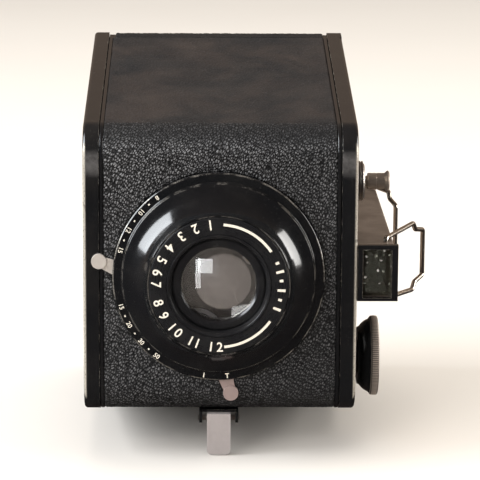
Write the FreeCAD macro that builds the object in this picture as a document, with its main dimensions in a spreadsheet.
# Box roll-film camera standing on its end on a fold-out foot.
# Millimetres.  +X is the carrying-strap side (finder, wind knob, release),
# +Y runs from the lens panel to the hinged back, +Z is up.
# Every piece is first laid out about the centre of the lens panel, then the
# frame_* cells of the sheet carry it to the origin: middle of the footprint,
# on the surface that the foot and the lower back edge stand on.
import FreeCAD, Part
import math
import os
import Sketcher
from FreeCAD import Placement, Rotation, Vector

os.makedirs("parts", exist_ok=True)
doc = FreeCAD.newDocument("box_camera")
sheet = doc.addObject("Spreadsheet::Sheet", "Dims")
aliases = []
pieces = []

ORIGIN = (0, 0, 0)
# The origin plane square to each axis
PLANES = {"x": "YZ_Plane", "y": "XZ_Plane", "z": "XY_Plane"}


# ---------------------------------------------------------------- dimensions
class Length:
    """A length kept both as a number and as the sheet expression behind it."""

    def __init__(self, value, text=None):
        self.value = float(value)
        self.text = text if text is not None else "%.9g" % self.value

    def __add__(self, other):
        other = as_length(other)
        return Length(self.value + other.value, "(%s + %s)" % (self.text, other.text))

    __radd__ = __add__

    def __sub__(self, other):
        other = as_length(other)
        return Length(self.value - other.value, "(%s - %s)" % (self.text, other.text))

    def __rsub__(self, other):
        return as_length(other) - self

    def __mul__(self, other):
        other = as_length(other)
        return Length(self.value * other.value, "(%s * %s)" % (self.text, other.text))

    __rmul__ = __mul__

    def __truediv__(self, other):
        other = as_length(other)
        return Length(self.value / other.value, "(%s / %s)" % (self.text, other.text))

    def __neg__(self):
        return Length(-self.value, "(0 - %s)" % self.text)

    def bound(self):
        return "Dims." in self.text


def as_length(number):
    return number if isinstance(number, Length) else Length(number)


def root(number):
    return Length(math.sqrt(number.value), "sqrt(%s)" % number.text)


def dim(alias, value):
    """Enter a driving dimension in the sheet."""
    aliases.append(alias)
    row = len(aliases)
    sheet.set("A%d" % row, alias)
    sheet.set("B%d" % row, "%.9g" % value)
    sheet.setAlias("B%d" % row, alias)
    return Length(value, "Dims." + alias)


def bind(obj, prop, number):
    number = as_length(number)
    if number.bound():
        obj.setExpression(prop, number.text)


def set_bound(obj, prop, number):
    number = as_length(number)
    setattr(obj, prop, number.value)
    bind(obj, prop, number)


# Body envelope: the top and bottom faces spread apart towards the back
front_half = dim("front_half_height", 47.2)
rise = dim("edge_rise", 15.9)
depth = dim("body_depth", 118.7)
half_width = dim("body_half_width", 45.0)
lip_width = dim("pan_lip_width", 5.3)
lip_thick = dim("pan_lip_thickness", 0.98)
sheet_thick = dim("sheet_thickness", 0.8)
shell_inset = dim("shell_inset", 1.0)
leather_inset = dim("leather_inset", 0.25)
gap = dim("assembly_gap", 0.02)
corner_radius = dim("front_corner_radius", 11.0)
back_radius = dim("back_corner_radius", 1.3)
rim_radius = dim("pan_rim_radius", 1.2)
door_depth = dim("door_flange_depth", 6.5)
seam = dim("door_seam", 0.15)
frame_x = dim("frame_shift_across", -12.443)
frame_y = dim("frame_shift_back", -53.45)
frame_z = dim("frame_shift_up", 62.914)

slope = rise / depth
slope_angle = math.degrees(math.atan(slope.value))
slope_secant = root(1 + slope * slope)
seam_y = depth - door_depth
body_end = seam_y - seam
pan_inside = half_width - sheet_thick - gap
skin = shell_inset - gap            # inset of the underside of leather and trim

# Places and sizes that several sections share
lens_x = dim("lens_axis_across", -0.55)
lens_z = dim("lens_axis_up", -1.05)
at_lens = (lens_x, 0, lens_z)
bezel_radius = dim("bezel_rim_radius", 34.82)
spool_y = dim("spool_axis_depth", 22.0)
spool_z = dim("spool_axis_height", 33.6)
plunger_y = dim("plunger_axis_depth", 16.0)
plunger_z = dim("plunger_axis_height", 27.7)
leather_x = dim("leather_half_width", 38.1)
tripod_y = dim("tripod_depth", 62.0)
thread_radius = dim("tripod_thread_radius", 3.175)
boss_radius = dim("tripod_boss_radius", 4.6)
flange_radius = dim("tripod_flange_radius", 6.2)


def edge_z(y, inset):
    """Height of the sloping top surface at depth y, sunk by inset."""
    return front_half + slope * y - as_length(inset) * slope_secant


def top(y, inset):
    """Side-view point (y, z) on the top surface, sunk by inset."""
    return (y, edge_z(y, inset))


def low(y, inset):
    """Side-view point (y, z) on the bottom surface, sunk by inset."""
    return (y, -edge_z(y, inset))


def front_corners(inset):
    return [top(inset, inset), low(inset, inset)]


def back_corners(inset):
    y = depth - inset
    return [top(y, inset), low(y, inset)]


# ------------------------------------------------------------ sketch helpers
def new_body(name):
    return doc.addObject("PartDesign::Body", name)


def sketch(body, axis, name, place=0):
    """Sketch square to an axis, at that place along it."""
    sk = body.newObject("Sketcher::SketchObject", name)
    plane = [f for f in body.Origin.OriginFeatures if f.Role == PLANES[axis]][0]
    sk.AttachmentSupport = [(plane, "")]
    sk.MapMode = "FlatFace"
    # The normal of the XZ plane points along -Y
    offset = -as_length(place) if axis == "y" else as_length(place)
    sk.AttachmentOffset = Placement(Vector(0, 0, offset.value), Rotation())
    bind(sk, "AttachmentOffset.Base.z", offset)
    return sk


def pin_point(sk, geo, end, x, y):
    """Fix a point at (x, y); a plain zero puts it on the sketch axis."""
    for kind, number, axis in (("DistanceX", x, -2), ("DistanceY", y, -1)):
        number = as_length(number)
        if number.value == 0 and not number.bound():
            sk.addConstraint(Sketcher.Constraint("PointOnObject", geo, end, axis))
        else:
            index = sk.addConstraint(Sketcher.Constraint(kind, geo, end, number.value))
            bind(sk, "Constraints[%d]" % index, number)


def pin_radius(sk, geo, radius):
    index = sk.addConstraint(Sketcher.Constraint("Radius", geo, radius.value))
    bind(sk, "Constraints[%d]" % index, radius)


def loop(sk, points):
    """Closed outline.  A point is (x, y) or (x, y, radius): with a radius the
    side leaving it is an arc; a positive radius bulges to the right of the
    direction of travel, a negative one to the left."""
    count = len(points)
    ends = []
    for i, point in enumerate(points):
        start, stop = [Vector(as_length(p[0]).value, as_length(p[1]).value, 0)
                       for p in (point, points[(i + 1) % count])]
        if len(point) == 2:
            geo = sk.addGeometry(Part.LineSegment(start, stop), False)
            ends.append((geo, 1, 2))
            continue
        signed = as_length(point[2]).value
        radius = abs(signed)
        chord = stop - start
        height = math.sqrt(max(radius * radius - (chord.Length / 2) ** 2, 1e-12))
        left = Vector(-chord.y, chord.x, 0).normalize()
        centre = (start + stop) * 0.5 + left * (height if signed > 0 else -height)
        circle = Part.Circle(centre, Vector(0, 0, 1), radius)
        angles = [math.atan2(v.y - centre.y, v.x - centre.x) for v in (start, stop)]
        if signed < 0:
            angles.reverse()
        geo = sk.addGeometry(Part.ArcOfCircle(circle, *angles), False)
        ends.append((geo, 1, 2) if signed > 0 else (geo, 2, 1))
    for i in range(count):
        geo, _, finish_end = ends[i]
        next_geo, next_start, _ = ends[(i + 1) % count]
        sk.addConstraint(
            Sketcher.Constraint("Coincident", geo, finish_end, next_geo, next_start))
    for (geo, start_end, _), point in zip(ends, points):
        pin_point(sk, geo, start_end, point[0], point[1])
        if len(point) == 3:
            radius = as_length(point[2])
            pin_radius(sk, geo, radius if radius.value > 0 else -radius)


def ring(sk, x, y, radius):
    x, y, radius = as_length(x), as_length(y), as_length(radius)
    circle = Part.Circle(Vector(x.value, y.value, 0), Vector(0, 0, 1), radius.value)
    geo = sk.addGeometry(circle, False)
    if x.value == 0 and not x.bound() and y.value == 0 and not y.bound():
        sk.addConstraint(Sketcher.Constraint("Coincident", geo, 3, -1, 1))
    else:
        pin_point(sk, geo, 3, x, y)
    pin_radius(sk, geo, radius)


def drawn(body, axis, name, place, loops, rings):
    sk = sketch(body, axis, name, place)
    for points in loops:
        loop(sk, points)
    for circle in rings:
        ring(sk, *circle)
    return sk


def rectangle(x0, y0, x1, y1):
    return [(x0, y0), (x1, y0), (x1, y1), (x0, y1)]


def centred(half_x, half_y):
    return rectangle(-half_x, -half_y, half_x, half_y)


# ----------------------------------------------------------- feature helpers
def pad(body, axis, name, place, length, loops=(), rings=(), back=False, feature="Pad"):
    """Extrude towards the plus end of the axis, or the minus end if back."""
    sk = drawn(body, axis, name, place, loops, rings)
    f = body.newObject("PartDesign::Pad", feature)
    f.Profile = sk
    set_bound(f, "Length", length)
    f.Reversed = back != (axis == "y")
    body.Tip = f
    doc.recompute()


def pocket(body, axis, name, place, length, loops=(), rings=(), feature="Pocket"):
    """Cut to whichever side of the sketch the material lies."""
    before = body.Tip.Shape.Volume
    sk = drawn(body, axis, name, place, loops, rings)
    f = body.newObject("PartDesign::Pocket", feature)
    f.Profile = sk
    set_bound(f, "Length", length)
    body.Tip = f
    doc.recompute()

    def idle():
        return f.Shape.isNull() or f.Shape.Volume > before - 1e-4

    if idle():
        f.Reversed = not f.Reversed
        doc.recompute()
    if idle():
        raise RuntimeError("pocket removes nothing in " + body.Name)


def revolved(label, points, axis="y"):
    """Body turned about its own axis.  Points are (radius, place along the
    axis), but (place, radius) about x."""
    body = new_body(label + "_body")
    sk = drawn(body, "y" if axis == "z" else "z", "section", 0, [points], ())
    f = body.newObject("PartDesign::Revolution", "Revolution")
    f.Profile = sk
    f.ReferenceAxis = (sk, ["H_Axis" if axis == "x" else "V_Axis"])
    f.Angle = 360.0
    body.Tip = f
    doc.recompute()
    return body


def round_edges(body, radius, pick, name="Fillet"):
    base = body.Tip
    names = ["Edge%d" % i for i, e in enumerate(base.Shape.Edges, 1) if pick(e)]
    if not names:
        raise RuntimeError("no edge to round in " + body.Name)
    f = body.newObject("PartDesign::Fillet", name)
    f.Base = (base, names)
    set_bound(f, "Radius", radius)
    body.Tip = f
    doc.recompute()


def along_x_at(spots):
    """Picks edges parallel to X through the given (y, z) spots."""
    def pick(edge):
        if len(edge.Vertexes) != 2:
            return False
        a, b = [v.Point for v in edge.Vertexes]
        if abs(a.y - b.y) > 1e-4 or abs(a.z - b.z) > 1e-4 or abs(a.x - b.x) < 0.2:
            return False
        return any(abs(a.y - as_length(y).value) < 0.15
                   and abs(a.z - as_length(z).value) < 0.15 for y, z in spots)
    return pick


def points_along(edge, shares):
    first, last = edge.FirstParameter, edge.LastParameter
    return [edge.valueAt(first + share * (last - first)) for share in shares]


def in_plane_x(x):
    """Picks edges that lie in the plane at x."""
    def pick(edge):
        return all(abs(p.x - x.value) < 1e-4
                   for p in points_along(edge, (0.0, 0.25, 0.5, 0.75, 1.0)))
    return pick


def all_at(edge, axis, place, tol=1e-4):
    """Whether all the ends of an edge share one coordinate."""
    place = as_length(place).value
    return all(abs(getattr(v.Point, axis) - place) < tol for v in edge.Vertexes)


def shift(obj, at):
    at = [as_length(v) for v in at]
    obj.Placement.Base = Vector(*[v.value for v in at])
    for axis, v in zip("xyz", at):
        bind(obj, "Placement.Base." + axis, v)


def turn(obj, rotation):
    obj.Placement = Placement(obj.Placement.Base, rotation)


def finish(obj, label, at=ORIGIN):
    """Give a piece its label and its place in the frame."""
    obj.Label = label
    shift(obj, (frame_x + at[0], frame_y + at[1], frame_z + at[2]))
    pieces.append(obj)


def cylinder(name, radius, length, axis, at=ORIGIN):
    c = doc.addObject("Part::Cylinder", name)
    set_bound(c, "Radius", radius)
    set_bound(c, "Height", length)
    turn(c, {"x": Rotation(Vector(0, 1, 0), 90),
             "y": Rotation(Vector(1, 0, 0), -90),
             "z": Rotation()}[axis])
    shift(c, at)
    return c


def block(name, size, at):
    b = doc.addObject("Part::Box", name)
    for prop, v in zip(("Length", "Width", "Height"), size):
        set_bound(b, prop, v)
    shift(b, at)
    return b


def join(name, items):
    f = doc.addObject("Part::MultiFuse", name)
    f.Shapes = items
    return f


def group(name, items):
    f = doc.addObject("Part::Compound", name)
    f.Links = items
    return f


def cut(name, base, tool):
    f = doc.addObject("Part::Cut", name)
    f.Base = base
    f.Tool = tool
    return f


# --------------------------------------------- centre shell, leather and trim
shell_side_gap = dim("shell_side_gap", 0.1)
shutter_opening = dim("shutter_opening_radius", 29.5)
panel_cut = 4                       # depth of the openings in the front panel
bore_reach = 6                      # reach of the socket bore to each side of the skin
socket_gap = 0.1
bead_width = dim("trim_bead_width", 1.35)
bead_inset = dim("trim_bead_inset", 0.1)
bead_crown = dim("trim_bead_crown", 0.45)
bead_gap = 0.1


def wrap(label, sketch_name, x, width, outer, inner):
    """Sheet bent round the front, top and bottom, open at the back."""
    body = new_body(label + "_body")
    outline = [top(body_end, outer), top(outer, outer), low(outer, outer),
               low(body_end, outer), low(body_end, inner), low(inner, inner),
               top(inner, inner), top(body_end, inner)]
    pad(body, "x", sketch_name, x, width, [outline])
    round_edges(body, corner_radius - inner, along_x_at(front_corners(inner)), "FilletInner")
    round_edges(body, corner_radius - outer, along_x_at(front_corners(outer)))
    return body


def socket_bore(name, radius):
    """Cutter square to the sloping bottom face, for the tripod socket there."""
    bore = cylinder(name, radius, 2 * bore_reach, "z")
    turn(bore, Rotation(Vector(1, 0, 0), 180 - slope_angle))
    shift(bore, (0, tripod_y + slope * bore_reach, bore_reach - edge_z(tripod_y, 0)))
    return bore


def center_shell():
    half = half_width - sheet_thick - shell_side_gap
    body = wrap("center_shell", "wrap", -half, 2 * half, shell_inset, shell_inset + sheet_thick)
    pocket(body, "y", "shutter_opening", 0, panel_cut,
           rings=[(lens_x, lens_z, shutter_opening)])
    bore = socket_bore("side_boss_hole", boss_radius + socket_gap)
    finish(cut("center_shell_cut", body, bore), "center_shell")


def leather_wrap():
    body = wrap("leather_wrap", "wrap", -leather_x, 2 * leather_x, leather_inset, skin)
    pocket(body, "y", "bezel_opening", 0, panel_cut,
           rings=[(lens_x, lens_z, bezel_radius + 0.08)])
    bore = socket_bore("side_flange_hole", flange_radius + socket_gap)
    finish(cut("leather_wrap_cut", body, bore), "leather_wrap")


def bead_crown_edges(x):
    """Picks the outer edges of a bead that starts at x."""
    bend = corner_radius.value - bead_inset.value
    bend_y = bead_inset.value + bend
    bend_z = (front_half.value + slope.value * bend_y
              - (bead_inset.value + bend) * slope_secant.value)

    def on_outside(p):
        return (abs(p.y - bead_inset.value) < 1e-3
                or abs(abs(p.z) - edge_z(p.y, bead_inset).value) < 1e-3
                or abs(math.hypot(p.y - bend_y, abs(p.z) - bend_z) - bend) < 1e-3)

    def pick(edge):
        on_side = in_plane_x(x)(edge) or in_plane_x(x + bead_width)(edge)
        return (on_side and len(edge.Vertexes) == 2
                and all(on_outside(p) for p in points_along(edge, (0.2, 0.8))))
    return pick


def trim_beads():
    near = leather_x + bead_gap
    for label, x in (("trim_bead_right", near), ("trim_bead_left", -(near + bead_width))):
        body = wrap(label, "bead", x, bead_width, bead_inset, skin)
        round_edges(body, bead_crown, bead_crown_edges(x), "Crown")
        finish(body, label)


# ----------------------------------------------------------------- side pans
bush_hole = dim("bush_hole_radius", 3.2)
plunger_hole = dim("plunger_hole_radius", 3.0)


def outer_rim(x, open_y=None):
    """Picks the edges in the plane at x, less those lying at open_y."""
    def pick(edge):
        return in_plane_x(x)(edge) and not (
            open_y is not None and all_at(edge, "y", open_y, 0.01))
    return pick


def side_pan(label, side, end_y, inner_end_y, openings):
    """Shallow tray over one side, its lip turned in towards the centre."""
    right = side > 0
    outer_x = side * half_width
    body = new_body(label + "_body")
    pad(body, "x", "outline", outer_x, lip_width,
        [[top(0, 0), low(0, 0), low(end_y, 0), top(end_y, 0)]], back=right)
    pocket(body, "x", "hollow", side * (half_width - lip_width), lip_width - sheet_thick,
           [[top(lip_thick, lip_thick), low(lip_thick, lip_thick),
             low(inner_end_y, lip_thick), top(inner_end_y, lip_thick)]])
    round_edges(body, corner_radius - lip_thick, along_x_at(front_corners(lip_thick)),
                "InnerCorners")
    round_edges(body, corner_radius, along_x_at(front_corners(0)), "FrontCorners")
    if not right:
        round_edges(body, back_radius - lip_thick, along_x_at(back_corners(lip_thick)),
                    "InnerBackCorners")
        round_edges(body, back_radius, along_x_at(back_corners(0)), "BackCorners")
    round_edges(body, rim_radius, outer_rim(outer_x, end_y if right else None), "Rim")
    pocket(body, "x", "openings", outer_x, 2, rings=openings)
    finish(body, label)


def side_pans():
    # The right pan stops open at the door seam, the left one is closed behind
    side_pan("side_pan_right", 1, body_end, body_end + 2,
             [(spool_y, -spool_z, bush_hole), (plunger_y, plunger_z, plunger_hole)])
    side_pan("side_pan_left", -1, depth, depth - lip_thick,
             [(tripod_y, 0, flange_radius + socket_gap)])


# -------------------------------------------------------------- lens mounting
seat_y = dim("name_ring_seat", -12.9)
dome_top = dim("bezel_dome_top", -14.0)
dome_radius = dim("dome_radius", 14.0)
dome_inner = dim("dome_inner_radius", 12.8)
name_ring_radius = dim("name_ring_radius", 22.6)
name_ring_bore = dim("name_ring_bore", 17.05)
bezel_bore = dim("bezel_bore_radius", 16.6)
slot_width = dim("lever_slot_width", 12.4)
slot_y = dim("lever_slot_top", -1.0)
slot_depth = 4
slot_reach = 12
lens_radius = dim("front_lens_radius", 12.85)
lens_curve = dim("front_lens_curve", 42.0)
lens_apex = dim("front_lens_apex", -11.9)
lens_back = -8.52
lens_blank = 4.5                    # thickness before the front is curved


def lens_bezel():
    """Stepped dome round the lens, notched at its rim for the two levers."""
    body = revolved("lens_bezel", [
        (bezel_radius, skin), (bezel_radius, -1.9), (bezel_radius - 0.5, -2.3),
        (bezel_radius - 2.9, -2.45), (bezel_radius - 3.35, -3.8),
        (bezel_radius - 4.3, -4.35, -dome_radius),
        (name_ring_radius + 0.35, dome_top), (name_ring_radius + 0.1, dome_top),
        (name_ring_radius + 0.1, seat_y), (bezel_bore, seat_y), (bezel_bore, seat_y + 1.2),
        (name_ring_radius - 0.9, seat_y + 1.2, dome_inner),
        (bezel_radius - 5.6, -3.9), (bezel_radius - 4.6, -3.1),
        (bezel_radius - 1.3, -1.3), (bezel_radius - 1.3, skin)])
    start = -(bezel_radius + 2)
    slots = [block("zone_slot", (slot_reach, slot_depth, slot_width),
                   (start, slot_y, 0.8 - slot_width / 2)),
             block("time_slot", (slot_width, slot_depth, slot_reach),
                   (0.6 - slot_width / 2, slot_y, start))]
    finish(cut("lens_bezel_cut", body, join("lever_slots", slots)), "lens_bezel", at_lens)


def lens_rings():
    """Name ring, barrel and retaining ring, as (radius, y) sections."""
    seat = seat_y - gap
    barrel = bezel_bore - 0.1
    sections = (
        ("name_ring", [
            (name_ring_bore, seat), (name_ring_radius, seat),
            (name_ring_radius, seat_y - 1.2), (name_ring_radius - 0.3, seat_y - 1.35),
            (name_ring_bore, seat_y - 1.65)]),
        ("lens_barrel", [
            (name_ring_bore - 0.1, seat), (name_ring_bore - 0.1, seat_y - 1.85),
            (name_ring_bore - 0.35, seat_y - 2.0), (15.3, -12.7), (15.3, -11.3),
            (lens_radius + 0.1, -11.3), (lens_radius + 0.1, -8.5), (11.8, -8.5),
            (11.8, -4.6), (barrel, -4.6), (barrel, seat)]),
        ("lens_retaining_ring", [
            (12.2, -11.75), (12.55, -12.3), (14.6, -12.3), (15.2, -11.9),
            (15.2, -11.32), (12.2, -11.32)]))
    for label, points in sections:
        finish(revolved(label, points), label, at_lens)


def front_lens():
    common = doc.addObject("Part::Common", "front_lens_common")
    common.Base = cylinder("front_lens_blank", lens_radius, lens_blank, "y",
                           (0, lens_back - lens_blank, 0))
    ball = doc.addObject("Part::Sphere", "front_lens_ball")
    set_bound(ball, "Radius", lens_curve)
    shift(ball, (0, lens_apex + lens_curve, 0))
    common.Tool = ball
    finish(common, "front_lens", at_lens)


# ------------------------------------------------------------------- shutter
plate_y = dim("shutter_plate_front", 1.85)
plate_radius = dim("shutter_plate_radius", 33.0)
stop_radius = dim("stop_radius", 4.5)
disc_x = dim("shutter_disc_across", 9.5)
disc_z = dim("shutter_disc_up", 6.0)
disc_y = dim("shutter_disc_front", 0.9)
disc_radius = dim("shutter_disc_radius", 17.0)
disc_hole = dim("shutter_hole_radius", 4.8)
post_radius = dim("pivot_post_radius", 1.5)
post_bore = post_radius + 0.05
pivot_circle = dim("lever_pivot_circle", 26.7)
wire_coil_radius = 2.3
lever_thick = dim("lever_thickness", 0.7)
lever_y = dim("lever_front", -0.87)
lever_length = dim("lever_length", 13.5)
lever_head = dim("lever_head_radius", 2.5)
head_rise = 0.45                    # how far the lever head stands forward
pivot_boss = 4.0                    # radius of levers and arm round their pivots
arm_y = dim("closeup_arm_front", -1.6)
arm_thick = 0.6
arm_turn = 40                       # degrees about Y
closeup_radius = dim("closeup_lens_radius", 6.4)
at_zone_pivot = (lens_x - pivot_circle, 0, lens_z)
at_time_pivot = (lens_x, 0, lens_z - pivot_circle)


def shutter_plate():
    body = new_body("shutter_plate_body")
    pad(body, "y", "plate", plate_y, sheet_thick,
        rings=[(0, 0, plate_radius), (0, 0, stop_radius)])
    finish(body, "shutter_plate", at_lens)


def shutter_disc():
    body = new_body("shutter_disc_body")
    pad(body, "y", "blade", disc_y, 0.5,
        rings=[(0, 0, disc_radius), (0, 0, post_bore), (-0.08, -11.24, disc_hole)])
    finish(body, "shutter_disc", (lens_x + disc_x, 0, lens_z + disc_z))


def shutter_posts():
    # name, x, z, front end
    table = (("disc_post", disc_x, disc_z, -1.9),
             ("zone_post", -pivot_circle, 0, -2.1),
             ("time_post", 0, -pivot_circle, -2.1))
    posts = [cylinder(name, post_radius, plate_y - gap - front, "y", (x, front, z))
             for name, x, z, front in table]
    finish(group("shutter_posts_group", posts), "shutter_posts", at_lens)


def shutter_spring():
    """Coil round the disc post."""
    helix = Part.makeHelix(0.75, 1.9, wire_coil_radius)     # pitch, height, radius
    wire = Part.makeCircle(0.22, Vector(wire_coil_radius, 0, 0), Vector(0, 1, 0))
    coil = Part.Wire(helix.Edges).makePipeShell([Part.Wire([wire])], True, True)
    coil.rotate(Vector(), Vector(1, 0, 0), 90)
    spring = doc.addObject("Part::Feature", "shutter_spring_shape")
    spring.Shape = coil
    finish(spring, "shutter_spring", (lens_x + disc_x, 0.55, lens_z + disc_z))


def levers():
    """Two levers, drawn along +X from the pivot and then turned about Y."""
    blade = [(0, -2.9), (6.5, -2.6), (lever_length, -1.75),
             (lever_length, 1.75), (6.5, 2.6), (0, 2.9)]
    for label, at, angle in (("zone_lever", at_zone_pivot, -158),
                             ("time_lever", at_time_pivot, 72)):
        body = new_body(label + "_body")
        pad(body, "y", "blade", lever_y, lever_thick, [blade])
        pad(body, "y", "boss", lever_y, lever_thick,
            rings=[(0, 0, pivot_boss)], feature="Boss")
        pad(body, "y", "head", lever_y - head_rise, lever_thick + head_rise,
            rings=[(lever_length, 0, lever_head)], feature="Head")
        pocket(body, "y", "bore", lever_y - 1, 3, rings=[(0, 0, post_bore)], feature="Bore")
        finish(body, label, at)
        turn(body, Rotation(Vector(0, 1, 0), angle))


def closeup_arm():
    body = new_body("closeup_arm_body")
    pad(body, "y", "arm", arm_y, arm_thick,
        [[(0, -3.2), (pivot_circle, -2.4), (pivot_circle, 2.4), (0, 3.2)]])
    pad(body, "y", "ends", arm_y, arm_thick,
        rings=[(0, 0, pivot_boss), (pivot_circle, 0, 7.8)], feature="Ends")
    pocket(body, "y", "bores", arm_y - 1, 3,
           rings=[(0, 0, post_bore), (pivot_circle, 0, closeup_radius + 0.1)],
           feature="Bores")
    finish(body, "closeup_arm", at_zone_pivot)
    turn(body, Rotation(Vector(0, 1, 0), arm_turn))


def closeup_lens():
    """Lens in the free end of the close-up arm."""
    body = revolved("closeup_lens", [(0, -0.6), (closeup_radius, -0.9),
                                     (closeup_radius, -1.6), (0, -2.2)])
    angle = math.radians(arm_turn)
    finish(body, "closeup_lens", (lens_x - pivot_circle + pivot_circle * math.cos(angle),
                                  0, lens_z - pivot_circle * math.sin(angle)))


# -------------------------------------------------------------- light chamber
cone_front = dim("cone_front", 4.0)
cone_back = dim("cone_back", 103.0)
cone_front_half = dim("cone_front_half", 12.0)
cone_back_x = dim("cone_back_half_across", 33.6)
cone_back_z = dim("cone_back_half_up", 53.3)
cone_wall = dim("cone_wall", 0.9)
gate_x = dim("gate_half_across", 41.0)
gate_z = dim("gate_half_up", 53.5)
picture_x = dim("picture_half_across", 32.0)
picture_z = dim("picture_half_up", 52.0)
roller_y = dim("roller_depth", 102.5)
roller_z = dim("roller_height", 56.0)
roller_radius = dim("roller_radius", 2.1)
journal_radius = dim("roller_journal_radius", 1.0)


def frustum(name, margin, wall):
    """Pyramid of the cone, run on by margin at both ends and thinned by wall."""
    start = cone_front - margin
    end = cone_back + margin

    def half(y, back_half):
        share = (y - cone_front) / (cone_back - cone_front)
        return cone_front_half + (back_half - cone_front_half) * share - wall

    wedge = doc.addObject("Part::Wedge", name)
    set_bound(wedge, "Ymin", start)
    set_bound(wedge, "Ymax", end)
    for prop, size in (("X", half(start, cone_back_x)), ("Z", half(start, cone_back_z)),
                       ("X2", half(end, cone_back_x)), ("Z2", half(end, cone_back_z))):
        set_bound(wedge, prop + "min", -size)
        set_bound(wedge, prop + "max", size)
    return wedge


def light_cone():
    outer = frustum("cone_outer", 0, 0)
    hollow = frustum("cone_hollow", 1, cone_wall)
    finish(cut("light_cone_cut", outer, hollow), "light_cone")


def film_gate():
    body = new_body("film_gate_body")
    pad(body, "y", "gate", cone_back + 0.05, 0.9,
        [centred(gate_x, gate_z), centred(picture_x, picture_z)])
    finish(body, "film_gate")


def roller_brackets():
    """Four ears that carry the roller journals."""
    corners = ((39.9, 53.6), (-40.9, 53.6), (39.9, -57.8), (-40.9, -57.8))     # x, z
    ears = [block("ear_%d" % i, (1, 5.2, 4.2), (x, 99.6, z))
            for i, (x, z) in enumerate(corners)]
    bores = [cylinder("ear_bore_%d" % i, journal_radius + 0.05, 90, "x", (-45, roller_y, z))
             for i, z in enumerate((roller_z, -roller_z))]
    finish(cut("roller_brackets_cut", join("ears", ears), join("ear_bores", bores)),
           "roller_brackets")


def rollers():
    for label, z in (("roller_top", roller_z), ("roller_bottom", -roller_z)):
        tube = cylinder(label + "_tube", roller_radius, 79, "x", (-39.5, 0, 0))
        journal = cylinder(label + "_journal", journal_radius, 82, "x", (-41, 0, 0))
        finish(join(label + "_join", [tube, journal]), label, (0, roller_y, z))


# --------------------------------------------------------------------- spools
spool_half = dim("spool_half_length", 36.75)
core_radius = dim("spool_core_radius", 4.6)
spool_flange = dim("spool_flange_radius", 12.0)
spool_flange_thick = 0.8
pin_radius_spool = dim("spool_pin_radius", 2.0)
running_gap = dim("running_clearance", 0.06)
pin_grip = 5                        # reach of a pin into the spool
pin_plate_thick = 1.2


def spools():
    for label, z in (("supply_spool", spool_z), ("takeup_spool", -spool_z)):
        solid = join(label + "_solid", [
            cylinder(label + "_core", core_radius, 2 * spool_half, "x", (-spool_half, 0, 0)),
            cylinder(label + "_flange_a", spool_flange, spool_flange_thick, "x",
                     (-spool_half, 0, 0)),
            cylinder(label + "_flange_b", spool_flange, spool_flange_thick, "x",
                     (spool_half - spool_flange_thick, 0, 0))])
        ends = (("a", -spool_half - 0.5), ("b", spool_half - 5.5))
        holes = [cylinder(label + "_bore_" + end, pin_radius_spool + running_gap, 6, "x",
                          (x, 0, 0)) for end, x in ends]
        holes += [block(label + "_key_" + end, (6, 1.6, 7.4), (x, -0.8, -3.7))
                  for end, x in ends]
        holes.append(block(label + "_film_slot", (60, 1.2, 12), (-30, -0.6, -6)))
        finish(cut(label + "_cut", solid, join(label + "_holes", holes)), label,
               (0, spool_y, z))


def spool_pins():
    """Pins at both upper ends and the lower left; the shaft takes the fourth."""
    inner = spool_half - pin_grip
    right = (inner, pan_inside - pin_plate_thick)           # x of stem and of plate
    left = (-pan_inside, -pan_inside)
    pins = []
    for i, ((stem_x, plate_x), z) in enumerate(
            ((right, spool_z), (left, spool_z), (left, -spool_z))):
        stem = cylinder("pin_stem_%d" % i, pin_radius_spool, pan_inside - inner, "x",
                        (stem_x, spool_y, z))
        plate = cylinder("pin_plate_%d" % i, 4.5, pin_plate_thick, "x", (plate_x, spool_y, z))
        pins.append(join("spool_pin_%d" % i, [stem, plate]))
    finish(group("spool_pins_group", pins), "spool_pins")


def spool_springs():
    """A flat leaf under the top face and one over the bottom face."""
    front, back = 12.0, 34.0
    outer, inner = 2.0, 2.35
    half = 22
    leaves = []
    for i, face in enumerate((top, low)):
        body = new_body("spool_leaf_%d" % i)
        pad(body, "x", "leaf", -half, 2 * half,
            [[face(front, outer), face(front, inner), face(back, inner), face(back, outer)]])
        leaves.append(body)
    finish(group("spool_springs_group", leaves), "spool_springs")


# ------------------------------------------------------------------ wind knob
knob_radius = dim("knob_radius", 13.48)
knob_inner = dim("knob_rim_inner", 50.7)
knob_outer = dim("knob_rim_outer", 53.5)
skirt_x = dim("knob_skirt_inner", 46.55)
skirt_flare = dim("skirt_flare_radius", 6.0)
at_knob = (0, spool_y, -spool_z)
TEETH = 128
TOOTH_DEPTH = 0.26
KNOB_BEVEL = 0.55


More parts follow.
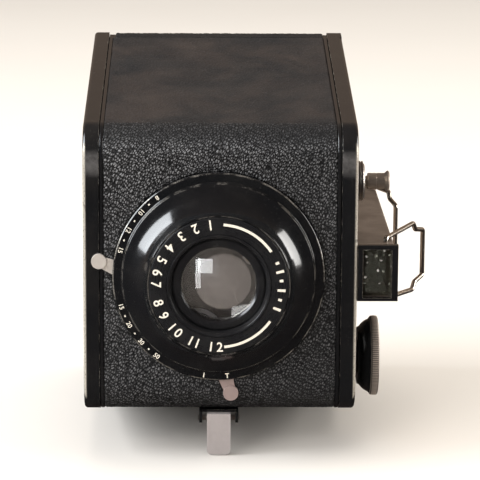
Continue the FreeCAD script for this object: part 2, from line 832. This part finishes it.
def wind_knob():
    """Milled disc with bevelled edges and a shallow recess in its outer face."""
    along = Vector(1, 0, 0)
    width = knob_outer.value - knob_inner.value
    outline = []
    for i in range(2 * TEETH):
        angle = math.pi * i / TEETH
        radius = knob_radius.value - (TOOTH_DEPTH if i % 2 else 0)
        outline.append(Vector(0, radius * math.cos(angle), radius * math.sin(angle)))
    outline.append(outline[0])
    rim = Part.Face(Part.makePolygon(outline)).extrude(Vector(width, 0, 0))
    wide = knob_radius.value + 0.1
    narrow = wide - KNOB_BEVEL
    middle = Part.makeCylinder(wide, width - 2 * KNOB_BEVEL, Vector(KNOB_BEVEL, 0, 0), along)
    inner = Part.makeCone(narrow, wide, KNOB_BEVEL, Vector(), along)
    outer = Part.makeCone(wide, narrow, KNOB_BEVEL, Vector(width - KNOB_BEVEL, 0, 0), along)
    rim = rim.common(middle.fuse([inner, outer]))
    shaft_hole = Part.makeCylinder(pin_radius_spool.value + 0.01, 1.5,
                                   Vector(-0.5, 0, 0), along)
    rim = rim.cut(shaft_hole)
    rim = rim.cut(Part.makeCylinder(10.6, 0.5, Vector(width - 0.5, 0, 0), along))
    knob = doc.addObject("Part::Feature", "wind_knob_shape")
    knob.Shape = rim.removeSplitter()
    finish(knob, "wind_knob", (knob_inner, spool_y, -spool_z))


def knob_mounting():
    """Skirt, washer and bush round the shaft, as (x, radius) sections."""
    bore = pin_radius_spool + running_gap
    tight = pin_radius_spool + 0.02
    sections = (
        ("knob_skirt", [
            (skirt_x, tight), (skirt_x, 9.6), (skirt_x + 0.7, 9.9, -skirt_flare),
            (knob_inner - 0.5, 12.3), (knob_inner - gap, 12.9), (knob_inner - gap, tight)]),
        ("knob_washer", [(45.95, bore), (45.95, 6.0), (46.4, 6.0), (46.4, bore)]),
        ("shaft_bush", [
            (43.2, bore), (43.2, 3.1), (45.02, 3.1), (45.02, 5.4), (45.8, 5.4),
            (45.8, bore)]))
    for label, points in sections:
        finish(revolved(label, points, "x"), label, at_knob)


def wind_shaft():
    start = spool_half + 0.15
    stem = cylinder("wind_stem", pin_radius_spool, knob_inner + 0.9 - start, "x",
                    (start, 0, 0))
    blade = block("wind_blade", (5.0, 1.44, 7.0), (spool_half - 4.6, -0.72, -3.5))
    collar = cylinder("wind_collar", 3.9, 1.0, "x", (spool_half + 0.3, 0, 0))
    finish(join("wind_shaft_join", [stem, blade, collar]), "wind_shaft", at_knob)


# -------------------------------------------------------------------- release
plunger_radius = dim("plunger_radius", 2.7)
plunger_head = dim("plunger_head_radius", 3.5)
collar_radius = dim("release_collar_radius", 6.65)


def release():
    """Plunger and its ribbed collar, as (x, radius) sections."""
    groove = plunger_radius - 0.15
    bore = plunger_radius + 0.08
    rib_root = collar_radius - 0.45
    sections = (
        ("release_plunger", [
            (41.3, 0), (41.3, 1.8), (48.85, 1.8), (48.85, groove), (49.0, plunger_radius),
            (51.7, plunger_radius), (51.85, groove), (52.0, plunger_radius),
            (54.5, plunger_radius), (55.35, plunger_head), (55.75, plunger_head),
            (56.1, 2.9), (55.75, 0)]),
        ("release_collar", [
            (45.02, bore), (45.02, collar_radius), (45.55, collar_radius), (45.75, rib_root),
            (45.95, collar_radius), (46.4, collar_radius), (46.6, rib_root),
            (46.8, collar_radius), (47.2, collar_radius), (47.4, collar_radius - 0.7),
            (47.75, collar_radius - 1.1), (47.75, bore)]))
    for label, points in sections:
        finish(revolved(label, points, "x"), label, (0, plunger_y, plunger_z))


# ----------------------------------------------------------------------- back
rear_frame_x = dim("rear_frame_half_across", 43.3)
rear_frame_z = dim("rear_frame_half_up", 58.7)
rear_frame_y = dim("rear_frame_front", 105.2)
rear_frame_wall = 0.7
hinge_x = dim("door_hinge_across", -41.0)
hinge_y = depth + dim("door_hinge_stand_off", 1.6)
door_outer = sheet_thick
door_inner = 2 * sheet_thick
door_skin = door_outer - gap
door_rim = dim("door_rim_radius", 0.3)
# A hair off zero, so that the sheet drives it as a distance
window_x = dim("window_across", 0.0001)
window_z = dim("window_up", 20.0)
window_neck = 8.0
window_flange = 10.0
pressure_y = dim("pressure_plate_front", 105.0)
knuckle_radius = dim("hinge_knuckle_radius", 1.5)
hinge_bore = dim("hinge_bore_radius", 0.85)
hinge_pin_radius = dim("hinge_pin_radius", 0.8)


def rear_frame():
    body = new_body("rear_frame_body")
    pad(body, "y", "frame", rear_frame_y, 11.3,
        [centred(rear_frame_x, rear_frame_z),
         centred(rear_frame_x - rear_frame_wall, rear_frame_z - rear_frame_wall)])
    finish(body, "rear_frame")


def door_outline(outer, inner):
    """Back panel with its top and bottom flanges, open to the front."""
    outer_y = depth - outer
    inner_y = depth - inner
    return [top(seam_y, outer), top(outer_y, outer), low(outer_y, outer),
            low(seam_y, outer), low(seam_y, inner), low(inner_y, inner),
            top(inner_y, inner), top(seam_y, inner)]


def window_hole(body, radius):
    pocket(body, "y", "window", depth + 1, 3, rings=[(window_x, window_z, radius)],
           feature="Window")


def door_shell():
    body = new_body("door_shell_body")
    strip_x = half_width - lip_width
    panel_x = -(strip_x - 0.2)
    pad(body, "x", "flanges", panel_x, (strip_x + 0.4) - panel_x,
        [door_outline(door_outer, door_inner)], feature="Panel")
    round_edges(body, back_radius - door_outer, along_x_at(back_corners(door_outer)),
                "PanelCorners")
    pad(body, "x", "side_strip", strip_x, lip_width, [door_outline(0, door_inner)],
        feature="SideStrip")
    pad(body, "x", "side_wall", half_width - sheet_thick, sheet_thick,
        [[top(seam_y, 0), low(seam_y, 0), low(depth, 0), top(depth, 0)]],
        feature="SideWall")
    round_edges(body, back_radius, along_x_at(back_corners(0)), "BackCorners")
    round_edges(body, door_rim, outer_rim(half_width, seam_y), "Rim")
    window_hole(body, window_neck + 0.1)
    finish(body, "door_shell")


def door_leather():
    body = new_body("door_leather_body")
    start = hinge_x + 3.7
    pad(body, "x", "wrap", start, leather_x - start,
        [door_outline(leather_inset, door_skin)])
    round_edges(body, back_radius - door_skin, along_x_at(back_corners(door_skin)),
                "InnerCorners")
    round_edges(body, back_radius - leather_inset, along_x_at(back_corners(leather_inset)),
                "Corners")
    window_hole(body, window_flange + 0.1)
    finish(body, "door_leather")


def window():
    """Ring and pane of the window in the back, as (radius, y) sections."""
    sections = (
        ("window_ring", [
            (6.6, 0.35), (9.6, 0.35), (window_flange, 0.0), (window_flange, -0.78),
            (window_neck, -0.78), (window_neck, -1.4), (7.3, -1.4), (7.3, -0.55),
            (6.6, -0.2)]),
        ("window_pane", [(0, -0.6), (7.2, -0.6), (7.2, -1.4), (0, -1.4)]))
    for label, points in sections:
        finish(revolved(label, points), label, (window_x, depth, window_z))


def pressure_plate():
    body = new_body("pressure_plate_body")
    pad(body, "y", "plate", pressure_y, 0.8, [centred(33, 50)],
        [(window_x, window_z, 8.5)])
    finish(body, "pressure_plate")


def pressure_springs():
    """Two bowed leaves between the door and the pressure plate."""
    door_side = depth - 1.62
    door_face = door_side - 0.4
    plate_side = 105.82
    plate_back = plate_side + 0.42
    outline = [(-28, door_side), (-28, door_face), (-20, door_face), (-8, plate_side),
               (8, plate_side), (20, door_face), (28, door_face), (28, door_side),
               (19.8, door_side), (7.8, plate_back), (-7.8, plate_back),
               (-19.8, door_side)]
    leaves = []
    for i, z in enumerate((-33.0, 36.0)):
        body = new_body("pressure_leaf_%d" % i)
        pad(body, "z", "leaf_%d" % i, z, 6, [outline])
        leaves.append(body)
    finish(group("pressure_springs_group", leaves), "pressure_springs")


def hinge():
    """Leaves along the back edge: three knuckles on the body, two on the door."""
    web = 3.2
    thick = 0.6
    leaf_y = depth + gap
    # label, web x, strip x, knuckles as (lower end, length)
    leaves = (
        ("body_hinge_leaf", hinge_x - web, hinge_x - web,
         ((-50.0, 20.0), (-10.0, 20.0), (30.0, 20.0))),
        ("door_hinge_leaf", hinge_x, hinge_x + 1.75, ((-29.85, 19.7), (10.15, 19.7))))
    for label, web_x, strip_x, spans in leaves:
        parts = []
        for i, (z, length) in enumerate(spans):
            parts.append(cylinder("%s_knuckle_%d" % (label, i), knuckle_radius, length, "z",
                                  (hinge_x, hinge_y, z)))
            parts.append(block("%s_web_%d" % (label, i), (web, thick, length),
                               (web_x, leaf_y, z)))
        bottom = spans[0][0]
        height = sum(spans[-1]) - bottom
        parts.append(block(label + "_strip", (1.4, thick, height),
                           (strip_x, leaf_y, bottom)))
        bore = cylinder(label + "_bore", hinge_bore, 104, "z", (hinge_x, hinge_y, -52))
        finish(cut(label + "_cut", join(label + "_join", parts), bore), label)
    finish(cylinder("hinge_pin_rod", hinge_pin_radius, 101, "z"), "hinge_pin",
           (hinge_x, hinge_y, -50.5))


def door_catch():
    """Spring leaf on the inside of the pan whose nose presses the door wall."""
    body = new_body("door_catch_body")
    x = pan_inside
    pad(body, "z", "catch", -6, 12,
        [[(x, 96.0), (x, 104.6), (x - 0.15, 104.9), (x - 0.15, 113.2), (x - 0.05, 114.2),
          (x - 0.15, 115.2), (x - 0.6, 115.2), (x - 0.6, 96.0)]])
    finish(body, "door_catch")


# --------------------------------------------------------------------- finder
finder_z = dim("finder_middle_height", -0.25)
finder_inner = dim("finder_inner", 45.05)
finder_outer = dim("finder_outer", 57.4)
finder_half = dim("finder_half_height", 8.95)
finder_front = dim("finder_front", 3.1)
finder_back = dim("finder_back", 107.8)
finder_wall = dim("finder_wall", 0.8)
finder_round = 0.8
frame_inner = 45.1                  # x of the inner side of both end frames
front_frame_y = dim("finder_frame_front", 0.5)
front_frame_outer = dim("finder_frame_outer", 58.5)
front_frame_half = dim("finder_frame_half_height", 9.45)
finder_lens_curve = dim("finder_lens_curve", 30.0)
lens_gap = 0.05
eyepiece_x = 51.4
eyepiece_radius = dim("eyepiece_radius", 3.6)
bail_x = dim("bail_pivot_across", 54.7)
bail_front_y = dim("bail_pivot_front", 8.2)
bail_rear_y = dim("bail_pivot_rear", 100.5)
bail_reach = dim("bail_reach", 28.6)
wire_radius = dim("bail_wire_radius", 0.8)


def finder_housing():
    """Square tube, rounded along its outer edges, bored for the two bails."""
    width = finder_outer - finder_inner
    length = finder_back - finder_front
    tube = block("finder_tube", (width, length, 2 * finder_half),
                 (finder_inner, finder_front, finder_z - finder_half))
    doc.recompute()
    rounded = doc.addObject("Part::Fillet", "finder_tube_round")
    rounded.Base = tube
    rounded.Edges = [
        (i, finder_round, finder_round) for i, e in enumerate(tube.Shape.Edges, 1)
        if all_at(e, "x", finder_outer)
        and abs(e.Vertexes[0].Point.y - e.Vertexes[1].Point.y) > 1]
    voids = [block("finder_tunnel",
                   (width - 2 * finder_wall, length + 2, 2 * finder_half - 2 * finder_wall),
                   (finder_inner + finder_wall, finder_front - 1,
                    finder_z - finder_half + finder_wall))]
    for end, y in (("front", bail_front_y), ("rear", bail_rear_y)):
        voids.append(cylinder("bail_hole_" + end, wire_radius + 0.06, 30, "z",
                              (bail_x, y, -15)))
    finish(cut("finder_housing_cut", rounded, join("finder_voids", voids)),
           "finder_housing")


def finder_front_frame():
    body = new_body("finder_front_frame_body")
    bottom = finder_z - front_frame_half
    upper = finder_z + front_frame_half
    pad(body, "y", "frame", front_frame_y, 2.5,
        [rectangle(frame_inner, bottom, front_frame_outer, upper),
         rectangle(46.95, finder_z - 8.25, 56.35, finder_z + 7.95)])

    def front_outer_edges(edge):
        return all_at(edge, "y", front_frame_y) and (
            all_at(edge, "z", upper) or all_at(edge, "z", bottom)
            or all_at(edge, "x", front_frame_outer))

    round_edges(body, 0.5, front_outer_edges)
    finish(body, "finder_front_frame")


def finder_front_lens():
    body = new_body("finder_front_lens_body")
    inset = finder_wall + lens_gap
    inner = finder_inner + inset
    outer = finder_outer - inset
    pad(body, "z", "plan", finder_z - finder_half + inset, 2 * finder_half - 2 * inset,
        [[(inner, 3.3), (outer, 3.3), (outer, 5.3, -finder_lens_curve), (inner, 5.3)]])
    finish(body, "finder_front_lens")


def finder_rear_frame():
    body = new_body("finder_rear_frame_body")
    pad(body, "y", "frame", finder_back + 0.05, 2.2,
        [rectangle(frame_inner, finder_z - 9.3, 58.1, finder_z + 9.3)],
        [(eyepiece_x, finder_z, eyepiece_radius)])
    finish(body, "finder_rear_frame")


def finder_eye_lens():
    body = revolved("finder_eye_lens", [(0, -1.4), (4.4, -0.9), (4.4, -0.1), (0, -0.1)])
    finish(body, "finder_eye_lens", (eyepiece_x, finder_back, finder_z))


def bail(label, y, lean, heading):
    """Bent wire loop: it leans out from the Y axis by lean degrees, and its
    reach runs back (heading 1) or forward (heading -1)."""
    lean = math.radians(lean)
    across = math.sin(lean)
    along = heading * math.cos(lean)
    # reach, half height, bend radius: one arm, mirrored for the other
    arm = [(0.0, 7.75, 0), (0.0, 10.25, 1.3), (21.0, 11.5, 1.3), (22.6, 9.1, 1.0),
           (bail_reach.value, 7.9, 1.1)]
    stations = arm + [(reach, -z, bend) for reach, z, bend in reversed(arm)]
    points = [Vector(reach * across, reach * along, z) for reach, z, _ in stations]
    edges = []
    start = points[0]
    for i in range(1, len(points) - 1):
        corner = points[i]
        bend = stations[i][2]
        before = (points[i - 1] - corner).normalize()
        after = (points[i + 1] - corner).normalize()
        half_angle = before.getAngle(after) / 2
        cutoff = bend / math.tan(half_angle)
        arc_start = corner + before * cutoff
        arc_end = corner + after * cutoff
        bisector = (before + after).normalize()
        centre = corner + bisector * (bend / math.sin(half_angle))
        if (arc_start - start).Length > 1e-6:
            edges.append(Part.LineSegment(start, arc_start).toShape())
        edges.append(Part.Arc(arc_start, centre - bisector * bend, arc_end).toShape())
        start = arc_end
    edges.append(Part.LineSegment(start, points[-1]).toShape())
    section = Part.Wire([Part.makeCircle(wire_radius.value, points[0], Vector(0, 0, 1))])
    wire = doc.addObject("Part::Feature", label + "_wire")
    wire.Shape = Part.Wire(edges).makePipeShell([section], True, False, 2)
    finish(wire, label, (bail_x, y, finder_z))


def bails():
    bail("front_bail", bail_front_y, 30.2, 1)
    bail("rear_bail", bail_rear_y, 16.5, -1)


# ----------------------------------------------------------------------- foot
foot_x = dim("foot_middle_across", -0.27)
foot_y = dim("foot_pivot_depth", 4.4)
foot_z = dim("foot_pivot_height", -50.4)
bracket_half = dim("foot_bracket_half", 6.5)
bracket_front = dim("foot_bracket_front", 5.9)
bracket_back = dim("foot_bracket_back", 14.5)
bracket_inset = dim("foot_bracket_drop", -0.2)   # negative: it stands below the bottom
ear_thick = 1.0
foot_pin_radius = dim("foot_pin_radius", 0.9)
foot_bore = foot_pin_radius + 0.05
foot_width = dim("foot_width", 7.85)
foot_tip = dim("foot_tip_height", -62.914)
foot_corner = dim("foot_corner_radius", 1.8)
# Just over the half height, so that the arc closes on its chord
foot_knuckle = dim("foot_knuckle_radius", 1.6501)
knuckle_half = 1.65
blade_front = 2.2
blade_back = 3.2


def foot_bracket():
    body = new_body("foot_bracket_body")
    start = foot_x - bracket_half
    under = bracket_inset - 0.8
    ear_root = 2.9
    pad(body, "x", "base", start, 2 * bracket_half,
        [[low(bracket_front, bracket_inset), low(bracket_front, under),
          low(bracket_back, under), low(bracket_back, bracket_inset)]], feature="Base")
    ear = [(ear_root, -edge_z(ear_root, bracket_inset - 0.1) - 0.3),
           (ear_root, foot_z - 0.4), (4.4, foot_z - 1.9), (6.2, foot_z - 1.9),
           low(9.0, bracket_inset - 0.75), low(bracket_front + 0.1, bracket_inset - 0.05)]
    for i, x in enumerate((start, foot_x + bracket_half - ear_thick)):
        pad(body, "x", "ear_%d" % i, x, ear_thick, [ear], feature="Ear")
    pocket(body, "x", "pin_bore", start - 1, 2 * bracket_half + 2,
           rings=[(foot_y, foot_z, foot_bore)], feature="PinBore")
    finish(body, "foot_bracket")


def foot_plate():
    """Blade that hangs from a knuckle round the pin down to the ground."""
    body = new_body("foot_plate_body")
    start = foot_x - foot_width / 2
    upper = foot_z + 1.6
    pad(body, "x", "blade", start, foot_width,
        [[(blade_front, upper), (blade_back, upper), (blade_back, foot_tip),
          (blade_front, foot_tip)]], feature="Blade")
    pad(body, "x", "knuckle", start, foot_width,
        [[(2.5, foot_z - knuckle_half), (foot_y, foot_z - knuckle_half, foot_knuckle),
          (foot_y, foot_z + knuckle_half), (2.5, foot_z + knuckle_half)]],
        feature="Knuckle")

    def tip_corners(edge):
        return (abs(edge.Length - (blade_back - blade_front)) < 1e-3
                and all_at(edge, "z", foot_tip, 1e-3)
                and abs(edge.Vertexes[0].Point.x - edge.Vertexes[1].Point.x) < 1e-4)

    round_edges(body, foot_corner, tip_corners, "TipCorners")
    pocket(body, "x", "pin_bore", foot_x - foot_width, 2 * foot_width,
           rings=[(foot_y, foot_z, foot_bore)], feature="PinBore")
    finish(body, "foot_plate")


def foot_pin():
    overhang = 0.4
    rod = cylinder("foot_pin_rod", foot_pin_radius, 2 * bracket_half + 2 * overhang, "x")
    finish(rod, "foot_pin", (foot_x - bracket_half - overhang, foot_y, foot_z))


# ------------------------------------------------------------- tripod sockets
socket_flange = dim("tripod_socket_flange", 0.9)
socket_depth = 7.0


def tripod_sockets():
    """One socket in the left side, one in the sloping bottom face."""
    section = [(thread_radius, 0.0), (flange_radius, 0.0), (flange_radius, -socket_flange),
               (boss_radius, -socket_flange), (boss_radius, -socket_depth),
               (thread_radius, -socket_depth)]
    outward = Vector(0, -slope.value, -1).normalize()
    for label, at, rotation in (
            ("tripod_socket_base", (-half_width, tripod_y, 0),
             Rotation(Vector(0, 1, 0), -90)),
            ("tripod_socket_side", (0, tripod_y, -edge_z(tripod_y, 0.05)),
             Rotation(Vector(0, 0, 1), outward))):
        body = revolved(label, section, "z")
        finish(body, label, at)
        turn(body, rotation)


# ------------------------------------------------------------ build and write
for build in (
        center_shell, side_pans, leather_wrap, trim_beads,
        lens_bezel, lens_rings, front_lens,
        shutter_plate, shutter_disc, shutter_posts, shutter_spring,
        levers, closeup_arm, closeup_lens,
        light_cone, film_gate, roller_brackets, rollers,
        spools, spool_pins, spool_springs,
        wind_knob, knob_mounting, wind_shaft, release,
        rear_frame, door_shell, door_leather, window,
        pressure_plate, pressure_springs, hinge, door_catch,
        finder_housing, finder_front_frame, finder_front_lens,
        finder_rear_frame, finder_eye_lens, bails,
        foot_bracket, foot_plate, foot_pin, tripod_sockets):
    build()

doc.recompute()
failed = [o.Name for o in doc.Objects if "Invalid" in o.State or "Error" in o.State]
if failed:
    raise RuntimeError("failed objects: " + ", ".join(failed))
for piece in pieces:
    if piece.Shape.isNull() or not piece.Shape.isValid() or not piece.Shape.Solids:
        raise RuntimeError("bad shape: " + piece.Label)
for piece in pieces:
    piece.Shape.exportStep("parts/%s.step" % piece.Label)
